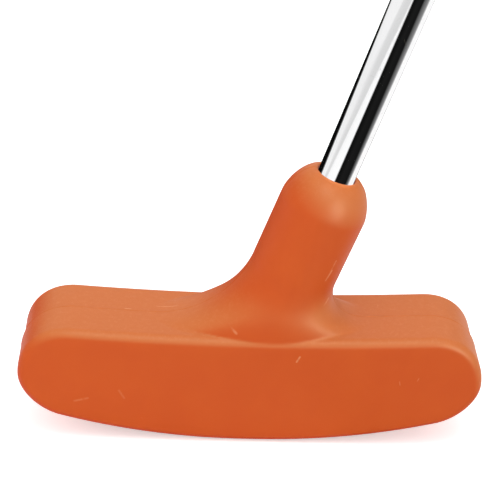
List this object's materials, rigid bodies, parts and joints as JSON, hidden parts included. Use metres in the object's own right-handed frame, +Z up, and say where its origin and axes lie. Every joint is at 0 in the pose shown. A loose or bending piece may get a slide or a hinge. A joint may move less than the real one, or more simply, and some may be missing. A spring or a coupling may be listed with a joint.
{
  "type": "miniature golf putter",
  "caption": "Two-way putter: a moulded orange rubber head with a rocker sole and hosel boss, on a plated steel shaft with a slip-on rubber grip.",
  "frame": {"origin": "middle of the flat land on the curved sole, where the club rests on the ground at address", "axes": "+Z up; +X towards the player, the way the shaft leans; +Y out of one striking face and -Y out of the other"},
  "size_m": [0.3437, 0.0272, 0.8498],
  "materials": {
    "orange_rubber": "smooth matte moulded rubber, lightly scuffed",
    "bar_steel": "plain mill finish",
    "socket_steel": "drawn tube",
    "spring_steel": "oiled spring steel",
    "plug_plastic": "moulded",
    "chrome_plate": "bright chrome plate",
    "tape_paper": "creped paper tape",
    "grip_rubber": "matte moulded rubber with fine grooves",
    "cap_rubber": "smooth moulded rubber"
  },
  "bodies": {
    "root": {"rubber_head": "orange_rubber", "core_bar": "bar_steel", "core_socket": "socket_steel", "hosel_pin": "spring_steel", "tip_plug": "plug_plastic", "shaft": "chrome_plate", "grip_tape": "tape_paper", "grip_sleeve": "grip_rubber", "grip_cap": "cap_rubber"}
  },
  "joints": []
}
